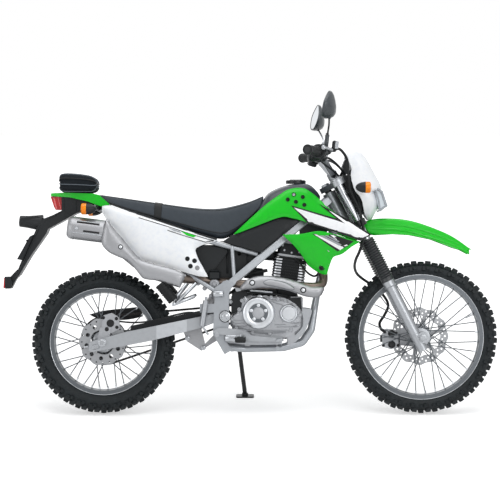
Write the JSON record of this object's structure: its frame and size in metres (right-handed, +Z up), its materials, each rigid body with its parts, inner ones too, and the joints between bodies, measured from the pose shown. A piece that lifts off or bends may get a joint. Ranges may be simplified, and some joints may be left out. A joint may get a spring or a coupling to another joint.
{
  "type": "dual sport motorcycle",
  "caption": "Small dual sport motorcycle with knobbly tyres, wire wheels, long seat, tall bars and a tail bag, resting on its side stand; wheels, steering and stand move.",
  "frame": {"origin": "on the ground, at the bottom centre of the whole motorcycle's bounding box as it stands on its side stand", "axes": "+X forward along the motorcycle, +Y to the rider's left, the side it leans to, +Z up"},
  "size_m": [1.9728, 0.7714, 1.3064],
  "materials": {
    "tank_black": "satin",
    "bright_metal": "polished",
    "seat_cover": "matte",
    "green_plastic": "gloss",
    "black_plastic": "satin",
    "white_plastic": "gloss",
    "frame_paint": "satin",
    "engine_silver": "satin cast",
    "engine_black": "satin",
    "header_steel": "heat tinted",
    "satin_steel": "satin",
    "satin_aluminium": "satin",
    "chain_steel": "oiled",
    "black_metal": "satin",
    "red_lens": "gloss",
    "amber_lens": "gloss",
    "bag_fabric": "woven",
    "black_rubber": "matte",
    "clear_lens": "gloss",
    "tyre": "matte",
    "rim_aluminium": "polished",
    "disc_steel": "machined"
  },
  "bodies": {
    "chassis": {"fuel_tank": "tank_black", "fuel_cap": "black_metal", "seat": "seat_cover", "tank_shrouds": "green_plastic", "lower_shrouds": "green_plastic", "tank_side_covers": "black_plastic", "side_panels": "white_plastic", "air_box": "black_plastic", "frame": "frame_paint", "engine_cases": "engine_silver", "cylinder": "engine_black", "carburettor": "engine_black", "rear_brake_hose": "black_rubber", "exhaust_pipe": "header_steel", "silencer": "satin_steel", "exhaust_guards": "satin_steel", "swingarm": "satin_aluminium", "shock_absorber": "satin_steel", "rear_axle": "bright_metal", "chain": "chain_steel", "front_sprocket": "chain_steel", "chain_guard": "black_plastic", "rear_caliper": "engine_silver", "foot_pegs": "black_metal", "foot_controls": "bright_metal", "tail_fender": "green_plastic", "plate_holder": "black_plastic", "rear_lamps": "red_lens", "rear_indicators": "amber_lens", "tail_bag": "bag_fabric"},
    "front_wheel": {"front_tyre": "tyre", "front_rim": "rim_aluminium", "front_spokes": "bright_metal", "front_hub": "satin_aluminium", "front_disc": "disc_steel"},
    "rear_wheel": {"rear_tyre": "tyre", "rear_rim": "rim_aluminium", "rear_spokes": "bright_metal", "rear_hub": "satin_aluminium", "rear_disc": "disc_steel", "rear_sprocket": "chain_steel"},
    "steering": {"triple_clamps": "black_metal", "fork_tubes": "bright_metal", "fork_boots": "black_rubber", "fork_sliders": "satin_aluminium", "front_axle": "bright_metal", "front_caliper": "engine_silver", "front_fender": "green_plastic", "headlight_cowl": "white_plastic", "headlight_lens": "clear_lens", "front_indicators": "amber_lens", "handlebar": "black_metal", "grips": "black_rubber", "bar_controls": "black_plastic", "mirrors": "black_plastic", "meter": "black_plastic", "front_brake_hose": "black_rubber"},
    "side_stand": {"side_stand": "black_metal"}
  },
  "joints": [
    {"name": "steering", "type": "hinge", "parent": "chassis", "child": "steering", "pos_m": [0.62264, -0.13244, 0.2736], "axis": [-0.454, 0.1547, 0.8775], "range_deg": [-45, 45]},
    {"name": "front_wheel_spin", "type": "hinge", "parent": "steering", "child": "front_wheel", "pos_m": [0.68144, -0.12723, 0.30314], "axis": [0, 0.9848, -0.1736], "continuous": true},
    {"name": "rear_wheel_spin", "type": "hinge", "parent": "chassis", "child": "rear_wheel", "pos_m": [-0.58856, -0.13036, 0.28542], "axis": [0, 0.9848, -0.1736], "continuous": true},
    {"name": "side_stand_fold", "type": "hinge", "parent": "chassis", "child": "side_stand", "pos_m": [-0.04856, -0.00598, 0.24216], "axis": [0.1278, 0.9071, 0.401], "range_deg": [0, 90]}
  ]
}
